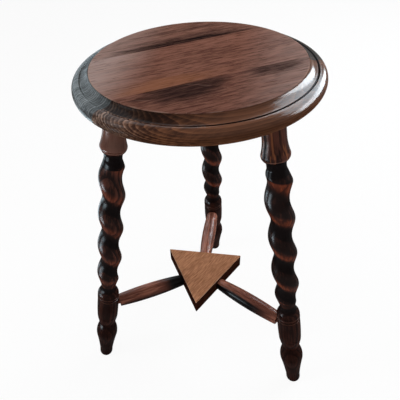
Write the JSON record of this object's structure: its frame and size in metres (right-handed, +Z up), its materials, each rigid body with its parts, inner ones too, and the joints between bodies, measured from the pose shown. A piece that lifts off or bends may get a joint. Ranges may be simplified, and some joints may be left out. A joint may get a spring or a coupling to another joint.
{
  "type": "tripod stool",
  "caption": "Round wooden stool with a moulded seat of edge-glued boards on splayed barley-twist legs, tied by turned stretchers that meet in a triangular block.",
  "frame": {"origin": "on the floor, under the centre of the seat", "axes": "+Z up through the centre of the seat; +Y towards the back leg; +X to the right, seen from the front"},
  "size_m": [0.3244, 0.3148, 0.462],
  "materials": {
    "seat_back_board": "worn satin, dark brown with a black streak along its seam",
    "seat_middle_board": "worn satin, warm reddish brown",
    "seat_front_board": "worn satin, reddish brown with dark patches",
    "dowel": "bare",
    "leg": "polished, dark brown, rubbed red on the crests",
    "stretcher": "polished, reddish brown with dark patches",
    "block": "satin, light tan top and dark brown sides"
  },
  "bodies": {
    "root": {"seat_board_back": "seat_back_board", "seat_board_middle": "seat_middle_board", "seat_board_front": "seat_front_board", "seat_dowels": "dowel", "leg_back": "leg", "leg_left": "leg", "leg_right": "leg", "stretcher_back": "stretcher", "stretcher_left": "stretcher", "stretcher_right": "stretcher", "stretcher_block": "block"}
  },
  "joints": []
}
